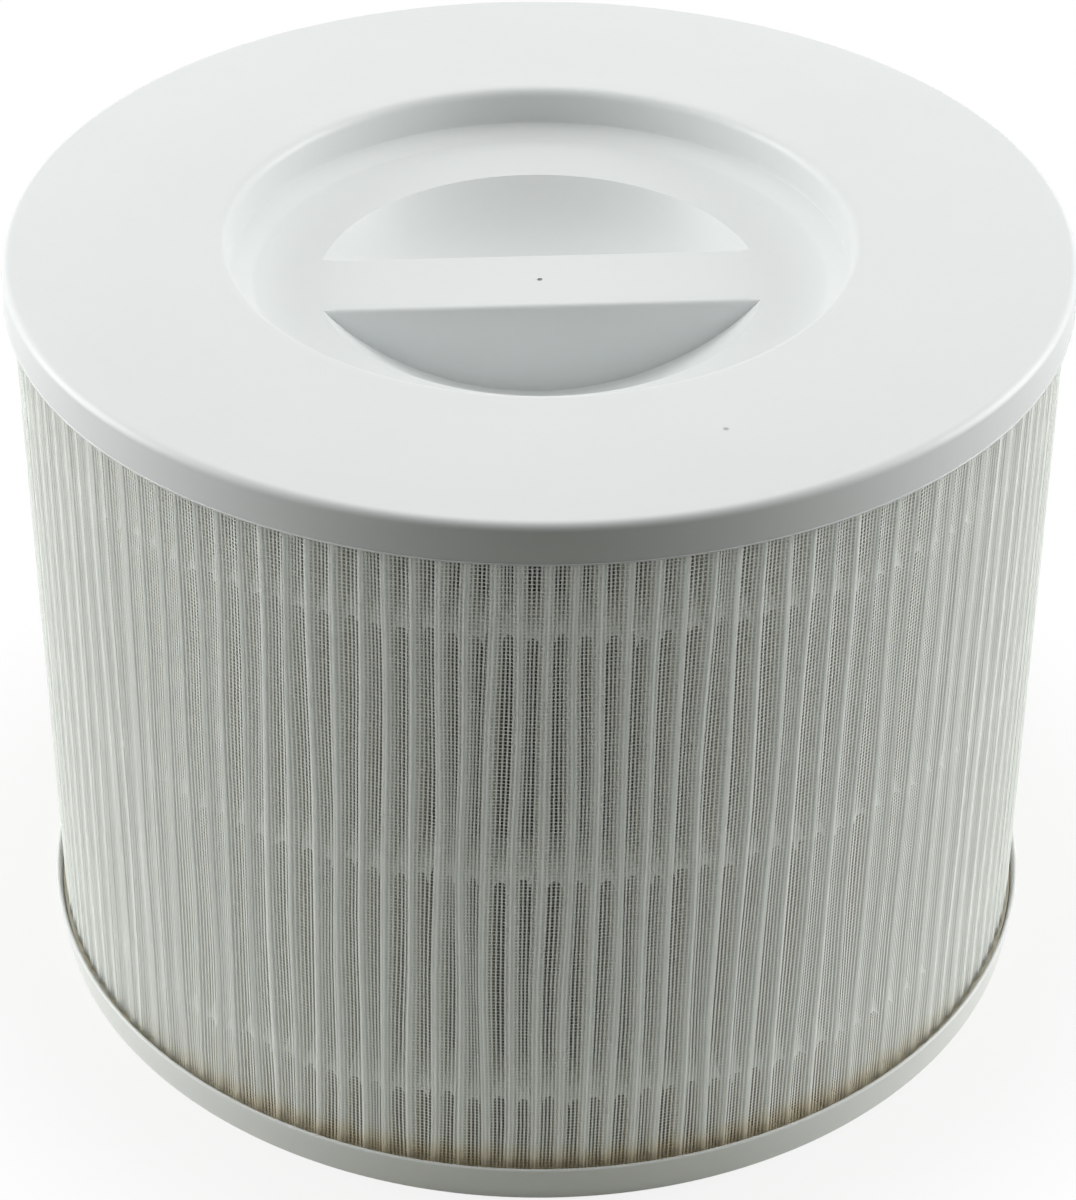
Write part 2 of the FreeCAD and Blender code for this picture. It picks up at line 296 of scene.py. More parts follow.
class Grower:
    """A Geometry Nodes tree with named inputs, from its flat parts to Realize Instances and Set Material."""

    def __init__(self, name: str) -> None:
        """Starts an empty tree whose first input and only output are geometry.

        Args:
            name: the tree's name.
        """
        self.group = bpy.data.node_groups.new(name, "GeometryNodeTree")
        self.tree = Tree(self.group)
        self.sockets: dict[str, str] = {}
        self.entry = self.tree.add("NodeGroupInput")
        self.given = self.port("Geometry", "NodeSocketGeometry", None)
        self.group.interface.new_socket("Geometry", in_out="OUTPUT", socket_type="NodeSocketGeometry")

    def port(self, name: str, kind: str, value: Any) -> bpy.types.NodeSocket:
        """Adds a named input.

        Args:
            name: its name.
            kind: its socket type.
            value: its default, or None.

        Returns:
            The socket that holds it inside the tree.
        """
        socket = self.group.interface.new_socket(name, in_out="INPUT", socket_type=kind)
        if value is not None:
            socket.default_value = value
        self.sockets[name] = socket.identifier
        return self.entry.outputs[name]

    def size(self, name: str, value: float) -> Term:
        """A named input that is a number."""
        return self.tree.term(self.port(name, "NodeSocketFloat", value))

    def count(self, name: str, value: int) -> Term:
        """A named input that is a whole number."""
        return self.tree.term(self.port(name, "NodeSocketInt", value))

    def close(self, geometry: Any, finished: bool = True) -> None:
        """Ends the tree.

        Args:
            geometry: what it has made.
            finished: whether it ends in Realize Instances and Set Material, or only hands geometry on.
        """
        if finished:
            real = self.tree.add("GeometryNodeRealizeInstances", {0: geometry})
            material = self.port("Material", "NodeSocketMaterial", None)
            geometry = self.tree.add("GeometryNodeSetMaterial", {"Geometry": real, "Material": material})
        out = self.tree.add("NodeGroupOutput")
        self.tree.join(geometry, out.inputs[0])

    def grow(self, name: str, base: bpy.types.Mesh, values: dict[str, Any],
             solid: float = 0.0) -> bpy.types.Object:
        """Runs the tree on a mesh and keeps the result as a plain object.

        Args:
            name: the piece's name.
            base: the mesh that enters the tree.
            values: the inputs that differ from their defaults.
            solid: a thickness to give an open surface, or nought.

        Returns:
            The finished object, with no modifier left.
        """
        piece = linked(name, base)
        modifier = piece.modifiers.new("grow", "NODES")
        modifier.node_group = self.group
        for key, value in values.items():
            modifier[self.sockets[key]] = value
        if solid:
            wall = piece.modifiers.new("wall", "SOLIDIFY")
            wall.thickness = solid
            wall.offset = 0.0
        plain = made_plain(piece)
        plain.name = name
        if not plain.materials:
            plain.materials.append(values["Material"])
        face_outwards(plain)
        return piece


def face_outwards(mesh: bpy.types.Mesh) -> None:
    """Turns a closed mesh's faces over if they point inwards.

    Args:
        mesh: the mesh, changed in place.
    """
    points = np.zeros(len(mesh.vertices) * 3, np.float32)
    mesh.vertices.foreach_get("co", points)
    points = points.reshape(-1, 3).astype(float)
    mesh.calc_loop_triangles()
    corners = np.zeros(len(mesh.loop_triangles) * 3, np.int32)
    mesh.loop_triangles.foreach_get("vertices", corners)
    a, b, c = (points[corners[start::3]] for start in range(3))
    if float((a * np.cross(b, c)).sum()) < 0:
        mesh.flip_normals()


def reach(node: str) -> float:
    """How far a CAD node reaches from the filter's axis, in metres."""
    points = np.array([vertex.co[:2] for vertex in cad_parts[node].data.vertices])
    return float(np.hypot(points[:, 0], points[:, 1]).max())


def turned(radius: float, degrees: float, height: float = 0.0) -> Vector:
    """A point at a radius, an angle from +X and a height."""
    angle = math.radians(degrees)
    return Vector((radius * math.cos(angle), radius * math.sin(angle), height))


def arc(centre: Point, radius: float, start: float, end: float, steps: int) -> list[Point]:
    """Points of an arc in a turned outline.

    Args:
        centre: the arc's centre, as radius and height.
        radius: the arc's own radius.
        start: the first angle in degrees, from outwards towards up.
        end: the last angle in degrees.
        steps: how many chords it has.

    Returns:
        The points, both ends included.
    """
    angles = np.radians(np.linspace(start, end, steps + 1))
    return [(centre[0] + radius * math.cos(a), centre[1] + radius * math.sin(a)) for a in angles]


class Skin:
    """Collects the points and faces of one mesh."""

    def __init__(self) -> None:
        """Starts with nothing."""
        self.points: list[Triple] = []
        self.faces: list[tuple[int, ...]] = []

    def line(self, places: Sequence[Sequence[float]]) -> list[int]:
        """Adds a row of points.

        Args:
            places: the points.

        Returns:
            Their numbers.
        """
        first = len(self.points)
        self.points.extend((float(x), float(y), float(z)) for x, y, z in places)
        return list(range(first, len(self.points)))

    def ring(self, angles: Sequence[float], radius: float, height: float) -> list[int]:
        """Adds a level circle of points at the given angles."""
        return self.line([turned(radius, angle, height) for angle in angles])

    def bridge(self, one: Sequence[int], other: Sequence[int], closed: bool = False) -> None:
        """Joins two rows of points with quads.

        Args:
            one: the numbers of the first row.
            other: the numbers of the second row, as many.
            closed: whether the rows are loops.
        """
        last = len(one) if closed else len(one) - 1
        for index in range(last):
            following = (index + 1) % len(one)
            self.faces.append((one[index], one[following], other[following], other[index]))

    def sweep(self, rows: Sequence[Sequence[int]], closed: bool = False) -> None:
        """Joins each row of points to the next with quads."""
        for one, other in zip(rows, rows[1:]):
            self.bridge(one, other, closed)

    def mesh(self, name: str, sharp_angle: float = SHARP_ANGLE) -> bpy.types.Mesh:
        """Makes the mesh, merged, facing outwards and smooth up to an angle.

        Args:
            name: the mesh's name.
            sharp_angle: the angle in degrees past which an edge stays sharp.

        Returns:
            The mesh.
        """
        mesh = bpy.data.meshes.new(name)
        mesh.from_pydata(self.points, [], self.faces)
        tidy_mesh(mesh, sharp_angle)
        return mesh


def tidy_mesh(mesh: bpy.types.Mesh, sharp_angle: float) -> None:
    """Merges doubles, turns faces outwards and shades smooth up to an angle.

    Args:
        mesh: the mesh, changed in place.
        sharp_angle: the angle in degrees past which an edge stays sharp.
    """
    work = bmesh.new()
    work.from_mesh(mesh)
    bmesh.ops.remove_doubles(work, verts=work.verts, dist=0.001 * MM)
    bmesh.ops.dissolve_degenerate(work, edges=work.edges, dist=0.0005 * MM)
    bmesh.ops.recalc_face_normals(work, faces=work.faces)
    for face in work.faces:
        face.smooth = True
    work.to_mesh(mesh)
    work.free()
    mesh.set_sharp_from_angle(angle=math.radians(sharp_angle))
    face_outwards(mesh)


@dataclass(frozen=True)
class Mark:
    """A small stain or moulding mark at a place on a surface, with a ragged edge that fades out."""

    x: float
    y: float
    z: float
    radius: float
    colour: Colour
    strength: float
    ragged: float = 0.6
    fade: Span = (1.5, 0.7)


class Paint(Tree):
    """The node tree of one material, with its shader and the place that is shaded."""

    def __init__(self, name: str, roughness: float) -> None:
        """Opens a material with a principled shader.

        Args:
            name: the material's name.
            roughness: the shader's roughness.
        """
        self.material = bpy.data.materials.new(name)
        super().__init__(cleared(self.material).tree)
        self.shader = self.add("ShaderNodeBsdfPrincipled", {"Roughness": roughness})
        self.output = self.add("ShaderNodeOutputMaterial", {"Surface": self.shader})
        self.place = self.add("ShaderNodeTexCoord").outputs["Object"]

    def grain(self, wave: float, detail: float = 2.0, stretch: Triple = (1.0, 1.0, 1.0)) -> Term:
        """Noise at the place that is shaded."""
        return self.noise(self.place, wave, detail, stretch)

    def cells(self, pitch: float) -> bpy.types.Node:
        """A pattern of cells of one pitch."""
        return self.add("ShaderNodeTexVoronoi", {"Vector": self.place, "Scale": 1 / pitch}, feature="F1")

    def colour(self, colour: bpy.types.NodeSocket) -> None:
        """Sets the shader's colour."""
        self.join(colour, self.shader.inputs["Base Color"])

    def emboss(self, height: Any, depth: float) -> None:
        """Gives the shader a bump of a depth in metres, from a height between nought and one."""
        bump = self.add("ShaderNodeBump", {"Strength": 1.0, "Distance": depth, "Height": height})
        self.join(bump, self.shader.inputs["Normal"])

    def roughen(self, noise: Term, middle: float, swing: float) -> None:
        """Lets the roughness wander by a swing about its middle, as a noise does."""
        rough = self.ramp(noise, 0.2, 0.8) * swing + (middle - swing / 2)
        self.join(rough, self.shader.inputs["Roughness"])

    def soak(self, low: float, high: float, ragged: float) -> Term:
        """How far the base glue has soaked up, on the filter's front alone and with a ragged edge.

        Args:
            low: the height up to which all is soaked.
            high: the height above which nothing is.
            ragged: how far the edge wanders up and down.

        Returns:
            The share.
        """
        _, y, z = self.split(self.place)
        edge = z + self.grain(SOAK_WAVE) * ragged - ragged / 2
        return self.ramp(edge, high, low) * self.ramp(y, SOAK_STARTS_Y, SOAK_FULL_Y)

    def let_through(self, share: float) -> None:
        """Lets light pass through a thin piece, in the colour that is already set.

        Args:
            share: how much of the light passes.
        """
        colour = self.shader.inputs["Base Color"].links[0].from_socket
        through = self.add("ShaderNodeBsdfTranslucent", {"Color": colour})
        mix = self.add("ShaderNodeMixShader", {0: share, 1: self.shader, 2: through})
        self.join(mix, self.output.inputs["Surface"])


@dataclass(frozen=True)
class Finish:
    """What every finish has: a name, a colour and a roughness."""

    name: str
    colour: Colour
    roughness: float

    def dimmed(self, share: float) -> Colour:
        """The finish's colour, darkened to a share of itself."""
        return tuple(channel * share for channel in self.colour)

    def build(self) -> bpy.types.Material:
        """Opens the material and lets the finish's own recipe fill it.

        Returns:
            The material.
        """
        paint = Paint(self.name, self.roughness)
        self.fill(paint)
        return paint.material


@dataclass(frozen=True)
class MouldedPlastic(Finish):
    """White moulded plastic with a faint satin grain and flow shading."""

    grain_pitch: float = 0.5 * MM
    grain_depth: float = 0.008 * MM
    flow_pitch: float = 9 * MM
    flow_share: float = 1.5
    cloud_pitch: float = 32 * MM
    fleck_pitch: float = 1.6 * MM
    cloud_share: float = 0.7
    dimmest: float = 0.94
    rough_swing: float = 0.08
    marks: tuple[Mark, ...] = ()

    def fill(self, paint: Paint) -> None:
        """Gives the plastic its shades, marks and grain.

        Args:
            paint: the material in the making.
        """
        cloud, fleck = paint.grain(self.cloud_pitch, 3.0), paint.grain(self.fleck_pitch)
        share = paint.mixed(cloud, fleck, self.cloud_share)
        colour = paint.blend(share, self.dimmed(self.dimmest), self.colour)
        for mark in self.marks:
            centre = (mark.x, mark.y, mark.z)
            gap = paint.add("ShaderNodeVectorMath", {0: paint.place, 1: centre}, operation="DISTANCE")
            away = paint.term(gap.outputs["Value"]) / mark.radius
            away = away + paint.grain(mark.radius, 1.0) * mark.ragged
            colour = paint.blend(paint.ramp(away, *mark.fade) * mark.strength, colour, mark.colour)
        paint.colour(colour)
        fine = paint.grain(self.grain_pitch, 3.0)
        paint.emboss(fine + paint.grain(self.flow_pitch, 1.0) * self.flow_share, self.grain_depth)
        paint.roughen(fine, self.roughness, self.rough_swing)


@dataclass(frozen=True)
class FilterPaper(Finish):
    """Off-white fibre paper with painted shade, darker and warmer deep in the gaps between crests, stained
    amber where the base glue has soaked up.
    """

    crest_radius: float
    # Painted shade deep in the gaps: its darker, warmer colour, and the depths below the crests where it
    # starts and where it is full.
    gap_shade_colour: Colour = (0.80, 0.775, 0.66)
    gap_shade_starts: float = 0.3 * MM
    gap_shade_full: float = 2.4 * MM
    amber: Colour = (0.58, 0.46, 0.25)
    stain_low: float = 10.0 * MM
    stain_high: float = 25.0 * MM
    stain_ragged: float = 5.0 * MM
    crest_share: float = 0.15
    fibre_pitch: float = 0.5 * MM
    fibre_stretch: Triple = (1.0, 1.0, 0.35)
    fibre_share: float = 0.6
    fibre_depth: float = 0.03 * MM
    felt_pitch: float = 7 * MM
    dimmest: float = 0.93
    see_through: float = 0.12

    def fill(self, paint: Paint) -> None:
        """Gives the paper its fibres, the painted shade in its gaps and the stain.

        Args:
            paint: the material in the making.
        """
        fibre = paint.grain(self.fibre_pitch, 4.0, self.fibre_stretch)
        share = paint.mixed(fibre, paint.grain(self.felt_pitch), self.fibre_share)
        outer = paint.blend(share, self.dimmed(self.dimmest), self.colour)
        x, y, _ = paint.split(paint.place)
        # Painted shade: the share of gap shade grows with depth below the crests.
        depth = paint.ramp(self.crest_radius - paint.across(x, y), self.gap_shade_starts, self.gap_shade_full)
        height = paint.soak(self.stain_low, self.stain_high, self.stain_ragged)
        stain = height * (depth * (1 - self.crest_share) + self.crest_share)
        paint.colour(paint.blend(stain, paint.blend(depth, outer, self.gap_shade_colour), self.amber))
        paint.emboss(fibre, self.fibre_depth)
        paint.let_through(self.see_through)


@dataclass(frozen=True)
class NetThread(Finish):
    """White nylon thread with a soft gloss, uneven whiteness and a glue-soaked foot."""

    soaked: Colour = (0.88, 0.84, 0.73)
    soak_low: float = 7.5 * MM
    soak_high: float = 13.0 * MM
    soak_ragged: float = 4.0 * MM
    uneven_pitch: float = 2.5 * MM
    dimmest: float = 0.95
    twist_pitch: float = 0.12 * MM
    twist_depth: float = 0.01 * MM
    see_through: float = 0.5

    def fill(self, paint: Paint) -> None:
        """Gives the thread its whiteness, its soaked foot and its twist.

        Args:
            paint: the material in the making.
        """
        thread = paint.blend(paint.grain(self.uneven_pitch), self.dimmed(self.dimmest), self.colour)
        foot = paint.soak(self.soak_low, self.soak_high, self.soak_ragged)
        paint.colour(paint.blend(foot, thread, self.soaked))
        paint.emboss(paint.grain(self.twist_pitch, 1.0), self.twist_depth)
        paint.let_through(self.see_through)


@dataclass(frozen=True)
class SetGlue(Finish):
    """Glue that has set, with bubbles and uneven depth of colour."""

    deep: Colour = (0.3, 0.2, 0.1)
    flow_pitch: float = 3.5 * MM
    flow_span: Span = (0.25, 0.7)
    bubble_pitch: float = 1.2 * MM
    bubble_span: Span = (0.1, 0.45)
    bubble_depth: float = 0.05 * MM

    def fill(self, paint: Paint) -> None:
        """Gives the glue its depths of colour and its bubbles.

        Args:
            paint: the material in the making.
        """
        flow = paint.grain(self.flow_pitch, 3.0)
        paint.colour(paint.blend(paint.ramp(flow, *self.flow_span), self.deep, self.colour))
        bubble = paint.ramp(paint.cells(self.bubble_pitch).outputs["Distance"], *self.bubble_span)
        paint.emboss(bubble + flow, self.bubble_depth)


@dataclass(frozen=True)
class CarbonFelt(Finish):
    """Black felt full of activated carbon grains."""

    grain: Colour = (0.09, 0.09, 0.10)
    grain_pitch: float = 0.9 * MM
    grain_depth: float = 0.4 * MM
    fuzz_pitch: float = 0.3 * MM
    rough_swing: float = 0.3

    def fill(self, paint: Paint) -> None:
        """Gives the felt its grains and its uneven dullness.

        Args:
            paint: the material in the making.
        """
        cells = paint.cells(self.grain_pitch)
        tone = paint.split(cells.outputs["Color"])[0]
        paint.colour(paint.blend(tone, self.colour, self.grain))
        paint.emboss(cells.outputs["Distance"], self.grain_depth)
        paint.roughen(paint.grain(self.fuzz_pitch, 3.0), self.roughness, self.rough_swing)


Palette = dict[Slot, bpy.types.Material]


def palette(cap_top: float, crest_radius: float) -> Palette:
    """Makes all materials of the filter once.

    Args:
        cap_top: the height of the cap's top, near which its two dark marks lie.
        crest_radius: how far the paper's crests reach, below which the paper gets painted shade, darker and
            warmer deeper in the gaps.

    Returns:
        The material of each slot.
    """
    gate = Mark(0.0, 0.0, cap_top - 10.8 * MM, 0.55 * MM, (0.22, 0.22, 0.21), 0.85)
    speck = Mark(26.0 * MM, -68.6 * MM, cap_top, 0.55 * MM, (0.30, 0.30, 0.29), 0.75)
    finishes = {
        Slot.CAP: MouldedPlastic("cap_satin", (0.80, 0.825, 0.825), 0.42, marks=(gate, speck)),
        Slot.RING: MouldedPlastic("ring_satin", (0.80, 0.815, 0.805), 0.45),
        Slot.CORE: MouldedPlastic("core_satin", (0.76, 0.77, 0.77), 0.5),
        Slot.PAPER: FilterPaper("pleated_paper", (0.945, 0.955, 0.93), 0.95, crest_radius),
        Slot.NET: NetThread("net_nylon", (0.965, 0.98, 0.965), 0.5),
        Slot.MELT: SetGlue("hot_melt_milky", (0.90, 0.92, 0.87), 0.4, deep=(0.82, 0.83, 0.77)),
        Slot.POTTING: SetGlue("potting_amber", (0.86, 0.81, 0.68), 0.3, deep=(0.76, 0.68, 0.51)),
        Slot.CARBON: CarbonFelt("carbon_felt", (0.02, 0.02, 0.022), 0.7),
    }
    return {slot: finish.build() for slot, finish in finishes.items()}


def settle(piece: bpy.types.Object, slot: Slot, *nodes: str) -> None:
    """Lets a finished piece ride on the body and stand for its nodes.

    Args:
        piece: the finished object.
        slot: not used.
        nodes: the CAD nodes that it replaces.
    """
    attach(piece, BODY)
    if nodes:
        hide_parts(*nodes)
    LOG.info("%s: %d faces", piece.name, len(piece.data.polygons))


def placed(name: str, mesh: bpy.types.Mesh, material: bpy.types.Material) -> bpy.types.Object:
    """Puts a mesh in the scene.

    Args:
        name: the object's name.
        mesh: its mesh.
        material: the one material that it has.

    Returns:
        The object.
    """
    piece = linked(name, mesh)
    mesh.materials.clear()
    mesh.materials.append(material)
    return piece


@dataclass
class Cap:
    """The closed moulded cap with its sunk recess, bowl and flush grip bar."""

    finishes: Palette
    radius: float
    top: float
    bottom: float
    skirt_wall: float = 0.8 * MM
    wall: float = 2.0 * MM
    edge_round: float = 1.6 * MM
    rim_bead: float = 0.17 * MM
    recess_radius: float = 55.4 * MM
    recess_wall_depth: float = 7.3 * MM
    lip_round: float = 2.0 * MM
    dish_radius: float = 74.0 * MM
    dish_depth: float = 0.25 * MM
    floor_radius: float = 51.3 * MM
    floor_edge_depth: float = 9.3 * MM
    floor_depth: float = 10.6 * MM
    bowl_radius: float = 39.9 * MM
    bowl_rim: float = 1.4 * MM
    bowl_depth: float = 18.5 * MM
    bar_half: float = 9.3 * MM
    bar_round: float = 1.0 * MM
    gate_radius: float = 0.5 * MM
    gate_depth: float = 0.3 * MM
    bar_end_steps: int = 27
    pocket_steps: int = 153
    pocket_rows: int = 12
    bar_wall_rows: tuple[float, ...] = (0.25, 0.5, 0.75, 1.0)
    bar_edge_turns: tuple[int, ...] = (72, 54, 36, 18, 0)
    bar_round_share: float = 0.45
    wall_foot_rings: tuple[float, ...] = (1.2 * MM, 0.3 * MM)
    cone_rings: tuple[float, ...] = (0.04, 0.12, 0.22, 0.78, 0.9, 0.97)
    floor_rings: tuple[float, ...] = (0.3 * MM, 0.7 * MM, 1.5 * MM)
    bowl_lip: float = 0.2 * MM

    def __post_init__(self) -> None:
        """Works out the bowl's sphere and the angles that every ring of points has."""
        self.floor = self.top - self.floor_depth
        self.sphere = (self.bowl_radius ** 2 + self.bowl_depth ** 2) / (2 * self.bowl_depth)
        self.centre = self.floor + self.sphere - self.bowl_depth
        corner = math.degrees(math.asin(self.bar_half / self.bowl_radius))
        ends = (-corner, corner, 180 - corner, 180 + corner, 360 - corner)
        steps = (self.bar_end_steps, self.pocket_steps) * 2
        self.angles = [angle for low, high, count in zip(ends, ends[1:], steps)
                       for angle in np.linspace(low, high, count + 1)[:-1]]

    def top_outline(self) -> list[Point]:
        """Draws the upper side, from the skirt's lower rim to the bowl's edge.

        Returns:
            Its points, as radius and height.
        """
        bead, edge, lip = self.rim_bead, self.edge_round, self.lip_round
        inner = self.recess_radius + lip
        sunk = self.top - self.dish_depth
        points = arc((self.radius, self.bottom + bead), bead, -90, 90, 6)
        points += [(self.radius, self.bottom + 4 * bead)]
        points += arc((self.radius - edge, self.top - edge), edge, 0, 90, 8)
        shares = np.linspace(0, 1, 13)
        points += [(self.dish_radius + (inner - self.dish_radius) * share,
                    self.top - self.dish_depth * share * share * (3 - 2 * share)) for share in shares[:-1]]
        points += arc((inner, sunk - lip), lip, 90, 180, 8)
        foot = np.array((self.recess_radius, self.top - self.recess_wall_depth))
        points += [(self.recess_radius, foot[1] + above) for above in self.wall_foot_rings]
        edge = np.array((self.floor_radius, self.top - self.floor_edge_depth))
        points += [tuple(foot * (1 - share) + edge * share) for share in self.cone_rings]
        inner_edge = np.array((self.bowl_radius + self.bowl_rim, self.floor))
        for inwards in self.floor_rings:
            share = inwards / (edge[0] - inner_edge[0])
            points += [tuple(edge * (1 - share) + inner_edge * share)]
        return points + [tuple(inner_edge), (self.bowl_radius + self.bowl_lip, self.floor)]

    def under_outline(self) -> list[Point]:
        """Draws the underside, from the skirt's lower rim to near the pole of the bowl's dome.

        Returns:
            Its points, as radius and height.
        """
        bore = self.radius - self.skirt_wall
        boss = self.recess_radius + self.wall
        dome = self.sphere + self.wall
        slope_foot = (self.floor_radius + self.wall / 2, self.top - self.floor_edge_depth - self.wall)
        ceiling = self.top - self.wall
        under_floor = self.floor - self.wall
        points = [(bore, self.bottom), (bore, ceiling), (boss, ceiling),
                  (boss, self.top - self.recess_wall_depth - self.wall / 2), slope_foot,
                  (self.bowl_radius + self.bowl_rim, under_floor)]
        widest = math.sqrt(dome ** 2 - (self.centre - under_floor) ** 2)
        tilt = math.degrees(math.asin(widest / dome))
        return points + arc((0.0, self.centre), dome, tilt - 90, -90, 22)[:-1]

    def bowl_height(self, x: float, y: float) -> float:
        """How high the bowl's surface is under a point."""
        return self.centre - math.sqrt(self.sphere ** 2 - x * x - y * y)

    def add_pocket(self, skin: Skin, rim: list[int], side: int) -> list[int]:
        """Adds one finger pocket: bowl surface, bar wall and the bar's rounded edge.

        Args:
            skin: the mesh in the making.
            rim: the numbers of the pocket's points on the bowl's edge, by falling X.
            side: one for the rear pocket, minus one for the front one.

        Returns:
            The row of points where the bar's flat top begins.
        """
        xs = [skin.points[number][0] for number in rim]
        edge_y = side * self.bar_half
        rows = [rim]
        for step in range(1, self.pocket_rows + 1):
            share = step / self.pocket_rows
            row = []
            for x, number in zip(xs, rim):
                y = skin.points[number][1] * (1 - share) + edge_y * share
                row.append((x, y, min(self.floor, self.bowl_height(x, y))))
            rows.append(skin.line(row))
        depths = [self.floor - skin.points[number][2] for number in rows[-1]]
        rounds = [min(self.bar_round, depth * self.bar_round_share) for depth in depths]
        for share in self.bar_wall_rows:
            rows.append(skin.line([(x, edge_y, self.floor - depth + (depth - fillet) * share)
                                   for x, depth, fillet in zip(xs, depths, rounds)]))
        for turn in np.radians(self.bar_edge_turns):
            rows.append(skin.line([(x, side * (self.bar_half - fillet + fillet * math.sin(turn)),
                                    self.floor - fillet + fillet * math.cos(turn))
                                   for x, fillet in zip(xs, rounds)]))
        skin.sweep(rows)
        return rows[-1]

    def mesh(self) -> bpy.types.Mesh:
        """Joins the cap's surfaces, with the bar's hollow and the gate mark still uncut.

        Returns:
            The closed mesh.
        """
        skin = Skin()
        rings = [skin.ring(self.angles, radius, height) for radius, height in self.top_outline()]
        edge = skin.ring(self.angles, self.bowl_radius, self.floor)
        skin.sweep([*rings, edge], closed=True)
        ends, pockets = self.bar_end_steps, self.pocket_steps
        right = edge[:ends + 1]
        rear = edge[ends:ends + pockets + 1]
        left = edge[ends + pockets:2 * ends + pockets + 1]
        front = edge[2 * ends + pockets:] + edge[:1]
        rear_row = self.add_pocket(skin, rear, 1)
        front_row = self.add_pocket(skin, front[::-1], -1)
        rows = [front_row]
        for share in np.arange(1, ends) / ends:
            rows.append(skin.line([Vector(skin.points[low]).lerp(Vector(skin.points[high]), share)
                                   for low, high in zip(front_row, rear_row)]))
        rows.append(rear_row)
        skin.sweep(rows)
        skin.bridge([row[0] for row in rows], right)
        skin.bridge([row[-1] for row in rows], left[::-1])
        under = [skin.ring(self.angles, radius, height) for radius, height in self.under_outline()]
        skin.bridge(rings[0], under[0], closed=True)
        skin.sweep(under, closed=True)
        skin.faces.append(tuple(under[-1]))
        return skin.mesh("moulded_cap")

    def cutter(self) -> bpy.types.Object:
        """Makes the block that hollows the bar from below and the pin that marks the gate.

        Returns:
            Both as one object.
        """
        skin = Skin()
        half_x = self.bowl_radius - self.wall
        half_y = self.bar_half - self.wall
        low = self.floor - self.bowl_depth - 2 * self.wall
        block = [(half_x, -half_y), (half_x, half_y), (-half_x, half_y), (-half_x, -half_y)]
        pin = [turned(self.gate_radius, angle)[:2] for angle in range(0, 360, 15)]
        for outline, bottom, top in ((block, low, self.floor - self.wall),
                                     (pin, self.floor - self.gate_depth, self.floor + self.gate_depth)):
            base = skin.line([(x, y, bottom) for x, y in outline])
            lid = skin.line([(x, y, top) for x, y in outline])
            skin.bridge(base, lid, closed=True)
            skin.faces += [tuple(base[::-1]), tuple(lid)]
        return linked("cap_cutter", skin.mesh("cap_cutter"))

    def build(self) -> None:
        """Makes the cap and puts it on its body."""
        piece = placed("moulded_cap", self.mesh(), self.finishes[Slot.CAP])
        tool = self.cutter()
        cut = piece.modifiers.new("cut", "BOOLEAN")
        cut.operation = "DIFFERENCE"
        cut.solver = "EXACT"
        cut.object = tool
        plain = made_plain(piece)
        bpy.data.objects.remove(tool)
        tidy_mesh(plain, SHARP_ANGLE)
        settle(piece, Slot.CAP, "end_cap")


@dataclass
class BaseRing:
    """The moulded ring that the filter stands on, with its collar round the opening."""

    finishes: Palette
    radius: float
    height: float
    skirt_wall: float = 1.0 * MM
    taper: float = 0.85 * MM
    floor: float = 2.0 * MM
    opening_radius: float = 55.8 * MM
    collar_wall: float = 1.6 * MM
    collar_height: float = 7.0 * MM
    edge_round: float = 0.6 * MM
    brim_round: float = 0.4 * MM
    brim_slope_mm: tuple[Point, ...] = ((0.55, 0.0), (0.35, 0.1), (0.1, 0.6), (0.0, 1.4))
    steps: int = 360

    def outline(self) -> list[Point]:
        """Draws the ring's closed section.

        Returns:
            Its points, as radius and height.
        """
        big, small = self.edge_round, self.brim_round
        foot = self.radius - self.taper
        bore = self.radius - self.skirt_wall
        bore_foot = bore - self.taper * (1 - self.floor / self.height)
        boss = self.opening_radius + self.collar_wall
        points = arc((foot - big, big), big, -90, 0, 4)
        points += arc((self.radius - small, self.height - small), small, 0, 90, 5)
        points += [(bore + aside * MM, self.height - drop * MM) for aside, drop in self.brim_slope_mm]
        points += [(bore_foot, self.floor), (boss, self.floor)]
        points += arc((boss - small, self.collar_height - small), small, 0, 90, 3)
        points += arc((self.opening_radius + small, self.collar_height - small), small, 90, 180, 3)
        points += arc((self.opening_radius + big, big), big, 180, 270, 4)
        return points

    def build(self) -> None:
        """Makes the ring and puts it on its body."""
        skin = Skin()
        angles = np.linspace(0, 360, self.steps, endpoint=False)
        rings = [skin.ring(angles, radius, height) for radius, height in self.outline()]
        skin.sweep([*rings, rings[0]], closed=True)
        piece = placed("foot_ring", skin.mesh("foot_ring"), self.finishes[Slot.RING])
        settle(piece, Slot.RING, "base_ring")


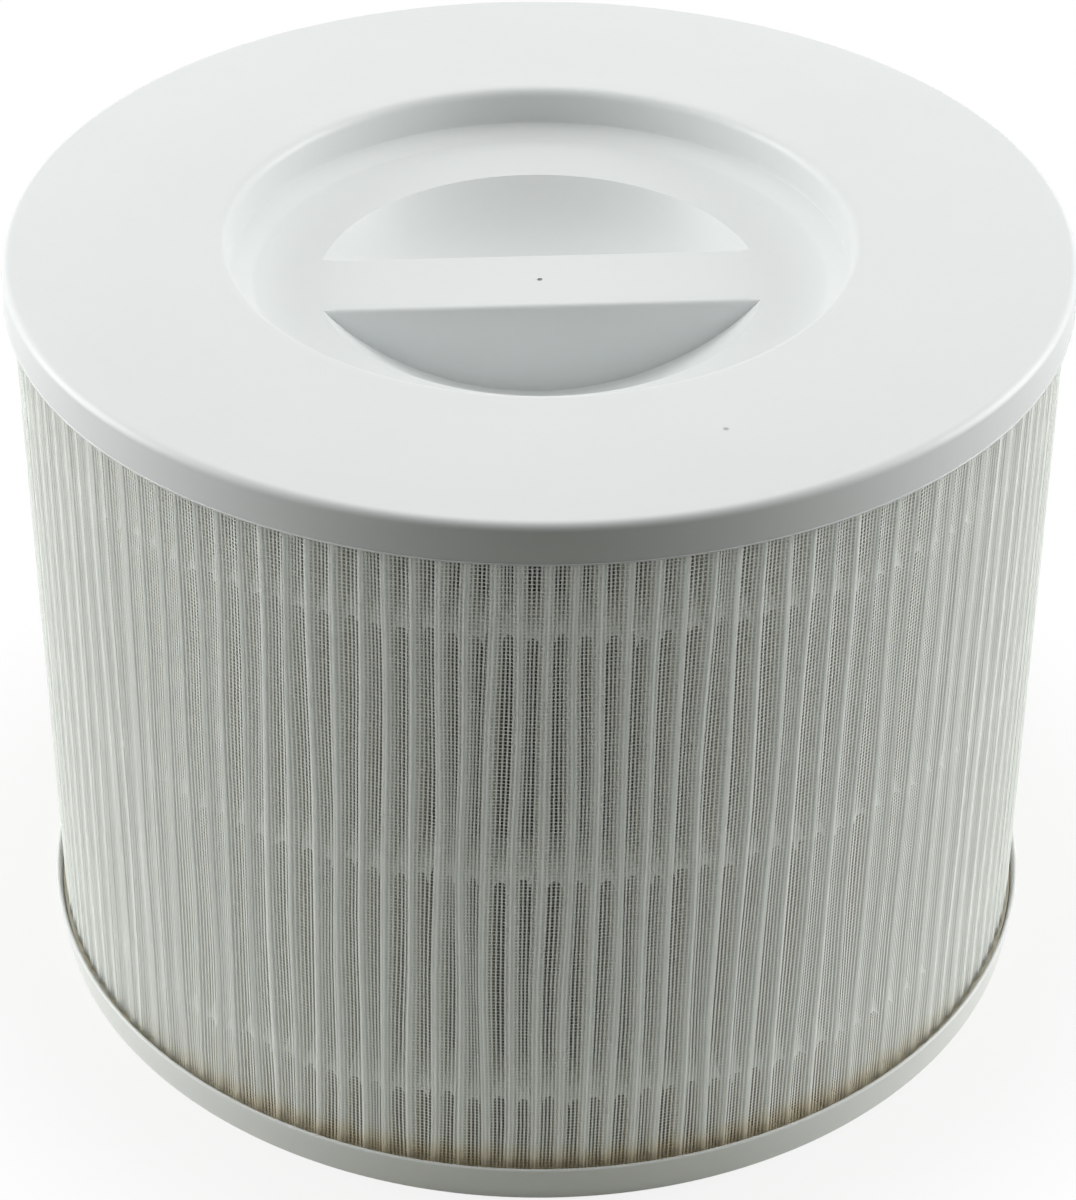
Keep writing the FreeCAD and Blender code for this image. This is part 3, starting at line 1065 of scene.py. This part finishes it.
@dataclass
class Pack:
    """The pleated pack: folded paper, hot melt in its gaps and the seam, all leaning and wandering alike."""

    finishes: Palette
    low: float
    high: float
    crest_radius: float
    pleats: int = 134
    start: float = 0.975
    pleat_depth: float = 29.85 * MM
    paper: float = 0.6 * MM
    crest_bend: float = 0.8 * MM
    crest_shape: tuple[Point, ...] = ((0.0, 0.0), (0.08, 0.22), (0.6, 0.66), (1.8, 1.0))
    root_bend: float = 0.35 * MM
    fold_sharp: float = 50.0
    taper: float = 0.75 * MM
    lean: float = 1.5
    wander: float = 0.75
    wander_pitch: float = 9.0 * MM
    wander_rise: float = 0.13
    rows_up: int = 16
    melt_height: float = 6.8 * MM
    melt_reach: float = 7.5 * MM
    melt_inset: float = 0.6 * MM
    melt_slope: float = 5.0 * MM
    melt_arch: float = 1.2 * MM
    melt_bulk: float = 0.15 * MM
    melt_hollow: float = 0.6 * MM
    melt_bulge: float = 0.5 * MM
    melt_levels: int = 4
    melt_sides: int = 6
    melt_slope_power: float = 1.4
    melt_middle_power: float = 2.5
    melt_sharp: float = 60.0
    melt_drop: float = 0.7 * MM
    melt_tilt: float = 0.18
    melt_tallness: tuple[float, float] = (0.85, 1.2)
    seam_angle: float = 90.0

    def __post_init__(self) -> None:
        """Works out the pitch and the seam's gap, and makes the shared lean."""
        self.pitch = 360.0 / self.pleats
        self.root_radius = self.crest_radius - self.pleat_depth
        self.seam_gap = round((self.seam_angle - self.start) / self.pitch - 0.5)
        self.leaning = self.lean_tree()

    def lean_tree(self) -> bpy.types.NodeTree:
        """Turns each point about the axis by the pack's lean and wander, and tapers the pack.

        Returns:
            The node group that does it.
        """
        grower = Grower("pack_lean")
        tree = grower.tree
        lean = grower.size("Lean", math.radians(self.lean))
        wander = grower.size("Wander", math.radians(self.wander))
        middle = (self.low + self.high) / 2
        place = tree.add("GeometryNodeInputPosition")
        x, y, z = tree.split(place)
        radius = tree.across(x, y)
        spread = self.crest_radius
        spot = tree.vector(x / radius * spread, y / radius * spread, z * self.wander_rise)
        drift = tree.noise(spot, self.wander_pitch, 1.0)
        turn = (z - middle) * lean / (self.high - self.low) + (drift - 0.5) * wander * 2.0
        taper = grower.size("Taper", self.taper)
        grown = (middle - z) * taper / (self.high - self.low) / spread + 1.0
        wider = tree.vector(x * grown, y * grown, z)
        moved = tree.add("ShaderNodeVectorRotate", {"Vector": wider, "Angle": turn}, rotation_type="Z_AXIS")
        out = tree.add("GeometryNodeSetPosition", {"Geometry": grower.given, "Position": moved.outputs[0]})
        grower.close(out, finished=False)
        return grower.group

    def leant(self, tree: Tree, geometry: Any) -> bpy.types.Node:
        """Adds the shared lean to a tree.

        Args:
            tree: the tree that takes it.
            geometry: what is to lean.

        Returns:
            The node that gives the leaning geometry.
        """
        node = tree.add("GeometryNodeGroup", node_tree=self.leaning)
        tree.join(geometry, node.inputs["Geometry"])
        return node

    def fold_mesh(self) -> bpy.types.Mesh:
        """Draws one pleat, from root to root over its crest.

        Returns:
            Its middle surface.
        """
        half = math.radians(self.pitch / 2)
        tip = self.crest_radius - self.paper / 2
        right = [(tip - drop * self.crest_bend, aside * self.crest_bend) for drop, aside in self.crest_shape]
        bottom = self.root_radius + self.paper / 2 + self.root_bend
        axis = (math.cos(half), math.sin(half))
        side = (-math.sin(half), math.cos(half))
        root = []
        for a in np.radians(np.linspace(90, 0, 4)):
            along = bottom - self.root_bend * math.cos(a)
            aside = -self.root_bend * math.sin(a)
            root.append((along * axis[0] + aside * side[0], along * axis[1] + aside * side[1]))
        flank = tuple((np.array(right[-1]) + np.array(root[0])) / 2)
        outline = [*right, flank, *root]
        outline = [(x, -y) for x, y in outline[:0:-1]] + outline
        skin = Skin()
        rows = [skin.line([(x, y, height) for x, y in outline])
                for height in np.linspace(self.low, self.high, self.rows_up + 1)]
        skin.sweep(rows)
        mesh = bpy.data.meshes.new("one_fold")
        mesh.from_pydata(skin.points, [], skin.faces)
        return mesh

    def ring_of(self, grower: Grower, first: Any, count: Any) -> tuple[bpy.types.Node, Term]:
        """Points at the axis, one for each fold or gap, and the angle that each is turned to.

        Args:
            grower: the tree that takes them.
            first: the first angle in radians.
            count: how many there are.

        Returns:
            The points and the angle.
        """
        tree = grower.tree
        points = tree.add("GeometryNodePoints", {"Count": count})
        index = tree.term(tree.add("GeometryNodeInputIndex"))
        return points, index * math.radians(self.pitch) + first

    def add_paper(self) -> None:
        """Folds the paper all the way round."""
        grower = Grower("pleat_folds")
        tree = grower.tree
        count = grower.count("Pleats", self.pleats)
        first = grower.size("First crest", math.radians(self.start))
        points, angle = self.ring_of(grower, first, count)
        turn = tree.vector(0.0, 0.0, angle)
        folds = tree.add("GeometryNodeInstanceOnPoints",
                         {"Points": points, "Instance": grower.given, "Rotation": turn})
        joined = tree.add("GeometryNodeMergeByDistance",
                          {"Geometry": tree.add("GeometryNodeRealizeInstances", {0: folds}),
                           "Distance": 0.01 * MM})
        grower.close(self.leant(tree, joined))
        material = {"Material": self.finishes[Slot.PAPER]}
        piece = grower.grow("folded_paper", self.fold_mesh(), material, solid=self.paper)
        piece.data.shade_smooth()
        piece.data.set_sharp_from_angle(angle=math.radians(self.fold_sharp))
        settle(piece, Slot.PAPER, "pleated_media")

    def melt_mesh(self, height: float, arch: float, slope: float, levels: int) -> bpy.types.Mesh:
        """One bead of glue in a gap, hollow in the middle where it wets both flanks, with its top deeper in.

        Args:
            height: how tall it is at the flanks.
            arch: how far its lower and upper middles draw back.
            slope: how much deeper in the gap its top lies than its bottom.
            levels: how many faces it has up its height.

        Returns:
            The bead, at angle nought and height nought.
        """
        half = math.radians(self.pitch / 2)
        outer = self.crest_radius - self.melt_inset
        inner = outer - self.melt_reach
        shoulder = self.crest_bend + self.paper / 2
        sides = np.linspace(-1, 1, self.melt_sides + 1)
        skin = Skin()
        walls = []
        for start, lost, hollow in ((outer, slope, self.melt_hollow), (inner, 0.0, -self.melt_bulge)):
            grid = []
            for level in np.linspace(-1, 1, levels + 1):
                radius = start - lost * ((level + 1) / 2) ** self.melt_slope_power
                share = (self.crest_radius - radius) / self.pleat_depth
                gap = radius * math.sin(half) - shoulder * (1 - share) + self.melt_bulk
                row = []
                for side in sides:
                    middle = 1 - abs(side) ** self.melt_middle_power
                    tall = level * (height / 2 - arch * middle)
                    row.append((radius - hollow * middle, side * gap, tall))
                grid.append(skin.line(row))
            walls.append(grid)
        front, back = walls
        for grid in walls:
            skin.sweep(grid)
        skin.bridge(front[0], back[0])
        skin.bridge(front[-1], back[-1])
        for end in (0, -1):
            skin.bridge([row[end] for row in front], [row[end] for row in back])
        return skin.mesh("one_bead", self.melt_sharp)

    def add_melt(self) -> None:
        """Lays the three rows of hot melt into the gaps, each bead a little different."""
        grower = Grower("melt_row")
        tree = grower.tree
        count = grower.count("Beads", self.pleats - 1)
        seed = grower.count("Seed", 1)
        height = grower.size("Height", 0.0)
        after_seam = math.radians(self.start + (self.seam_gap + 1.5) * self.pitch)
        first = grower.size("First gap", after_seam)
        points, angle = self.ring_of(grower, first, count)
        drop = tree.random(-self.melt_drop, self.melt_drop, seed)
        tilt = tree.random(-self.melt_tilt, self.melt_tilt, seed + 1)
        tall = tree.random(*self.melt_tallness, seed + 2)
        moved = tree.add("GeometryNodeSetPosition",
                         {"Geometry": points, "Offset": tree.vector(0.0, 0.0, height + drop)})
        beads = tree.add("GeometryNodeInstanceOnPoints",
                         {"Points": moved, "Instance": grower.given,
                          "Rotation": tree.vector(tilt, 0.0, angle), "Scale": tree.vector(1.0, 1.0, tall)})
        real = tree.add("GeometryNodeRealizeInstances", {0: beads})
        grower.close(self.leant(tree, real))
        for number, row in enumerate(Row):
            node = f"glue_row_{row.value}"
            low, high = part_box(node)
            bead = self.melt_mesh(self.melt_height, self.melt_arch, self.melt_slope, self.melt_levels)
            piece = grower.grow(f"hot_melt_{row.value}", bead, {
                "Material": self.finishes[Slot.MELT],
                "Seed": 11 * (number + 1),
                "Height": (low.z + high.z) / 2,
            })
            settle(piece, Slot.MELT, node)

    def add_seam(self) -> None:
        """Fills the gap where the paper's two ends are glued, at the back."""
        grower = Grower("melt_seam")
        tree = grower.tree
        turn = grower.size("Gap", math.radians(self.start + (self.seam_gap + 0.5) * self.pitch))
        middle = grower.size("Middle", (self.low + self.high) / 2)
        placed_seam = tree.add("GeometryNodeTransform",
                               {"Geometry": grower.given, "Translation": tree.vector(0.0, 0.0, middle),
                                "Rotation": tree.vector(0.0, 0.0, turn)})
        grower.close(self.leant(tree, placed_seam))
        strip = self.melt_mesh(self.high - self.low, 0.0, 0.0, self.rows_up)
        piece = grower.grow("hot_melt_seam", strip, {"Material": self.finishes[Slot.MELT]})
        settle(piece, Slot.MELT, "media_seam")

    def build(self) -> None:
        """Makes the paper, the three glue rows and the seam."""
        self.add_paper()
        self.add_melt()
        self.add_seam()


@dataclass
class Net:
    """The fine net stretched round the crests: woven flat, wrapped, and sagging a little over each gap."""

    pack: Pack
    radius: float
    upright_count: int = 871
    row_pitch: float = 0.72 * MM
    upright_width: float = 0.31 * MM
    row_width: float = 0.20 * MM
    thread_depth: float = 0.09 * MM
    row_inset: float = 0.12 * MM
    sag: float = 0.4 * MM
    steps_per_pleat: int = 3
    rise_steps: int = 12
    bands: int = 3
    lap_pleats: int = 2
    lap_proud: float = 0.3 * MM

    def weave_tree(self) -> Grower:
        """Weaves, wraps and thickens the net.

        Returns:
            The tree that does it.
        """
        pack = self.pack
        grower = Grower("net_weave")
        tree = grower.tree
        uprights = grower.count("Uprights", 0)
        rows = grower.count("Rows", 0)
        steps = grower.count("Steps", self.steps_per_pleat * pack.pleats)
        first = grower.size("First angle", 0.0)
        span = grower.size("Span", math.tau)
        radius = grower.size("Radius", self.radius)
        low = grower.size("Low", pack.low)
        high = grower.size("High", pack.high)
        sag = grower.size("Sag", self.sag)
        wide = grower.size("Upright width", self.upright_width)
        narrow = grower.size("Row width", self.row_width)
        depth = grower.size("Thread depth", self.thread_depth)

        rise = tree.add("GeometryNodeCurvePrimitiveLine",
                        {"Start": tree.vector(0.0, 0.0, low), "End": tree.vector(0.0, 0.0, high)})
        rise = tree.add("GeometryNodeResampleCurve", {"Curve": rise, "Count": self.rise_steps + 1})
        index = tree.term(tree.add("GeometryNodeInputIndex"))
        along = tree.vector(index / uprights, 0.0, 0.0)
        feet = tree.add("GeometryNodePoints", {"Count": uprights, "Position": along})
        standing = tree.add("GeometryNodeInstanceOnPoints", {"Points": feet, "Instance": rise})

        reach_out = tree.add("GeometryNodeCurvePrimitiveLine", {"Start": (0, 0, 0), "End": (1, 0, 0)})
        reach_out = tree.add("GeometryNodeResampleCurve", {"Curve": reach_out, "Count": steps + 1})
        level = tree.vector(0.0, self.row_inset, low + (high - low) * (index + 0.5) / rows)
        stack = tree.add("GeometryNodePoints", {"Count": rows, "Position": level})
        lying = tree.add("GeometryNodeInstanceOnPoints", {"Points": stack, "Instance": reach_out})

        threads = []
        section = tree.add("GeometryNodeCurvePrimitiveCircle", {"Resolution": 3, "Radius": 1.0})
        for flat, width in ((standing, wide), (lying, narrow)):
            ribbon = tree.add("GeometryNodeTransform",
                              {"Geometry": section,
                               "Scale": tree.vector(depth * (-2 / 3), width / math.sqrt(3), 1.0)})
            real = tree.add("GeometryNodeRealizeInstances", {0: flat})
            u, inset, z = tree.split(tree.add("GeometryNodeInputPosition"))
            angle = u * span + first
            phase = (angle - math.radians(pack.start)) / math.radians(pack.pitch)
            dip = tree.math("ABSOLUTE", tree.math("SINE", phase * math.pi))
            out = radius - inset - dip * sag
            cosine, sine = tree.math("COSINE", angle), tree.math("SINE", angle)
            side = tree.math("SIGN", tree.math("SINE", phase * math.tau))
            fall = side * (1.0 - dip) * sag * (math.pi / math.radians(pack.pitch)) / radius
            outwards = tree.vector(cosine - fall * sine, sine + fall * cosine, 0.0)
            facing = tree.add("GeometryNodeSetCurveNormal", {"Curve": real, "Normal": outwards}, mode="FREE")
            wrapped = tree.vector(out * cosine, out * sine, z)
            bent = tree.add("GeometryNodeSetPosition", {"Geometry": facing, "Position": wrapped})
            bent = pack.leant(tree, bent)
            tube = tree.add("GeometryNodeCurveToMesh",
                            {"Curve": bent, "Profile Curve": ribbon, "Fill Caps": True})
            threads.append(tree.add("GeometryNodeSetShadeSmooth", {"Geometry": tube, "Shade Smooth": False}))
        woven = tree.add("GeometryNodeJoinGeometry")
        for thread in threads:
            tree.tree.links.new(thread.outputs[0], woven.inputs[0])
        grower.close(woven)
        return grower

    def build(self) -> None:
        pack = self.pack
        grower = self.weave_tree()
        nylon = {"Material": pack.finishes[Slot.NET]}
        empty = bpy.data.meshes.new("nothing")
        uprights = grower.grow("net_uprights", empty.copy(), {"Uprights": self.upright_count, **nylon})
        settle(uprights, Slot.NET, "prefilter_net")
        edges = np.linspace(pack.low, pack.high, self.bands + 1)
        for number, (low, high) in enumerate(zip(edges, edges[1:])):
            rows = round((high - low) / self.row_pitch)
            band = grower.grow(f"net_rows_{number + 1}", empty.copy(),
                               {"Rows": rows, "Low": float(low), "High": float(high), **nylon})
            settle(band, Slot.NET, "prefilter_net")
        low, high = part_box("net_lap")
        lap_span = math.radians(self.lap_pleats * pack.pitch)
        lap = grower.grow("net_overlap", empty.copy(), {
            "Uprights": round(self.upright_count * lap_span / math.tau) + 1,
            "Rows": round((high.z - low.z) / self.row_pitch),
            "Steps": self.steps_per_pleat * self.lap_pleats,
            "First angle": math.radians(pack.start + pack.seam_gap * pack.pitch),
            "Span": lap_span,
            "Radius": self.radius + self.lap_proud / 2,
            "Low": low.z,
            "High": high.z,
            **nylon,
        })
        settle(lap, Slot.NET, "net_lap")
        width = math.tau * self.radius + self.lap_pleats * math.radians(pack.pitch) * self.radius
        height = pack.high - pack.low
        thread_area = self.upright_count * height * self.upright_width


@dataclass
class Hidden:
    """The pieces inside, which keep their CAD shape and get their finish."""

    finishes: Palette
    slots: tuple[tuple[str, Slot], ...] = (
        ("core_tube", Slot.CORE),
        ("top_potting", Slot.POTTING),
        ("bottom_potting", Slot.POTTING),
        ("carbon_sleeve", Slot.CARBON),
    )

    def build(self) -> None:
        """Gives each inner node its material."""
        for name, slot in self.slots:
            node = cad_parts[name]
            node.data.materials.clear()
            node.data.materials.append(self.finishes[slot])
            LOG.info("%s: CAD node, %s", name, slot.value)


@dataclass(frozen=True)
class Softbox:
    """One large soft lamp that faces the filter."""

    name: str
    azimuth: float
    distance: float
    height: float
    width: float
    tall: float
    power: float

    def build(self, aim: Vector, turn: float) -> None:
        """Puts the lamp up.

        Args:
            aim: the point that it faces.
            turn: how far the whole studio is turned round the filter, in degrees.
        """
        lamp = bpy.data.lights.new(self.name, "AREA")
        lamp.shape = "RECTANGLE"
        lamp.size = self.width
        lamp.size_y = self.tall
        lamp.energy = self.power
        holder = linked(self.name, lamp)
        holder.location = turned(self.distance, self.azimuth + turn, self.height)
        holder.rotation_euler = (aim - holder.location).to_track_quat("-Z", "Y").to_euler()


@dataclass
class Studio:
    """Pale floor, white surroundings, the photograph's camera, and soft lamps left, right and overhead."""

    turn: float = -3.5
    camera_distance: float = 517.04 * MM
    camera_height: float = 428.37 * MM
    pitch_down: float = 35.15
    roll: float = 0.298
    focal_pixels: float = 3297.7
    sensor: float = 36.0
    floor_size: float = 8.0
    floor_near: Colour = (0.64, 0.66, 0.58)
    floor_far: Colour = (0.07, 0.07, 0.07)
    fade_starts: float = 0.1
    fade_full: float = 0.42
    shadow_starts: float = 0.097
    shadow_ends: float = 0.15
    shadow_share: float = 0.15
    ambient: float = 0.095
    ambient_colour: Colour = (0.97, 1.0, 0.88)
    aim_height: float = 0.07
    lamps: tuple[Softbox, ...] = (
        Softbox("left_box", azimuth=174.5, distance=0.9, height=0.30, width=0.5, tall=0.8, power=8.5),
        Softbox("right_box", azimuth=8.0, distance=0.9, height=0.30, width=0.5, tall=0.8, power=8.2),
        Softbox("top_box", azimuth=90.0, distance=0.25, height=1.0, width=1.2, tall=0.9, power=5.9),
    )

    def camera(self) -> None:
        """Puts the camera where the photograph was taken from."""
        data = bpy.data.cameras.new("photograph")
        data.sensor_width = self.sensor
        data.lens = self.focal_pixels * self.sensor / IMAGE_HEIGHT
        data.clip_start = 0.01
        data.clip_end = 50.0
        holder = linked("photograph", data)
        place = turned(self.camera_distance, 270 + self.turn, self.camera_height)
        inwards = turned(1.0, 90 + self.turn)
        down = math.radians(self.pitch_down)
        look = inwards * math.cos(down) - Vector((0, 0, math.sin(down)))
        upright = look.to_track_quat("-Z", "Y").to_matrix().to_4x4()
        rolled = Matrix.Rotation(math.radians(self.roll), 4, "Z")
        holder.matrix_world = Matrix.Translation(place) @ upright @ rolled
        bpy.context.scene.camera = holder

    def floor(self) -> None:
        """Lays a pale floor that is white to the camera and keeps the filter's shadow."""
        half = self.floor_size / 2
        mesh = bpy.data.meshes.new("floor")
        corners = [(-half, -half, 0), (half, -half, 0), (half, half, 0), (-half, half, 0)]
        mesh.from_pydata(corners, [], [(0, 1, 2, 3)])
        material = bpy.data.materials.new("pale_floor")
        tree = cleared(material)
        glow = tree.add("ShaderNodeEmission", {"Color": (1, 1, 1, 1), "Strength": 1.0})
        x, y, _ = tree.split(tree.add("ShaderNodeTexCoord").outputs["Object"])
        radius = tree.across(x, y)
        fade = tree.ramp(radius, self.fade_starts, self.fade_full)
        colour = tree.blend(fade, self.floor_near, self.floor_far)
        diffuse = tree.add("ShaderNodeBsdfDiffuse", {"Color": colour})
        away = tree.ramp(radius, self.shadow_starts, self.shadow_ends)
        share = self.seen_directly(tree) * (away * self.shadow_share + (1 - self.shadow_share))
        mix = tree.add("ShaderNodeMixShader", {0: share, 1: diffuse, 2: glow})
        tree.add("ShaderNodeOutputMaterial", {"Surface": mix})
        placed("floor", mesh, material)

    def seen_directly(self, tree: Tree) -> Term:
        """Tells the rays that see a thing from those that only light the filter.

        Args:
            tree: the tree that asks.

        Returns:
            One for camera, glossy and transmission rays, and nought for the rest.
        """
        path = tree.add("ShaderNodeLightPath")
        camera = tree.term(path.outputs["Is Camera Ray"])
        glossy = tree.term(path.outputs["Is Glossy Ray"])
        through = tree.term(path.outputs["Is Transmission Ray"])
        return tree.math("ADD", camera, glossy + through, clamp=True)

    def surroundings(self) -> None:
        """Makes what lies round the filter white to the eye and faint as a light."""
        world = bpy.data.worlds.new("surroundings")
        bpy.context.scene.world = world
        tree = cleared(world)
        faint = tree.add("ShaderNodeBackground",
                         {"Color": (*self.ambient_colour, 1.0), "Strength": self.ambient})
        white = tree.add("ShaderNodeBackground", {"Color": (1, 1, 1, 1), "Strength": 1.0})
        mix = tree.add("ShaderNodeMixShader", {0: self.seen_directly(tree), 1: faint, 2: white})
        tree.add("ShaderNodeOutputWorld", {"Surface": mix})

    def build(self) -> None:
        """Sets the whole studio up."""
        bpy.context.scene.view_settings.view_transform = "Standard"
        self.camera()
        self.floor()
        self.surroundings()
        for lamp in self.lamps:
            lamp.build(Vector((0, 0, self.aim_height)), self.turn)


def main() -> None:
    """Builds the filter's looks piece by piece, then the studio round it."""
    logging.basicConfig(level=logging.INFO, format="%(message)s")
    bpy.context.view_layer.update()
    cap_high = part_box("end_cap")[1].z
    cap_low = max(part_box("end_cap")[0].z, cap_high - CAP_SKIRT)
    ring_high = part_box("base_ring")[1].z
    media_low, media_high = (corner.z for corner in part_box("pleated_media"))
    crest_radius = reach("pleated_media")
    finishes = palette(cap_high, crest_radius)
    pack = Pack(finishes, media_low, media_high, crest_radius)
    for part in (
        Cap(finishes, reach("end_cap"), cap_high, cap_low),
        BaseRing(finishes, reach("base_ring"), ring_high),
        pack,
        Net(pack, reach("prefilter_net") - Net.thread_depth),
        Hidden(finishes),
        Studio(),
    ):
        part.build()


if __name__ == "__main__":
    main()
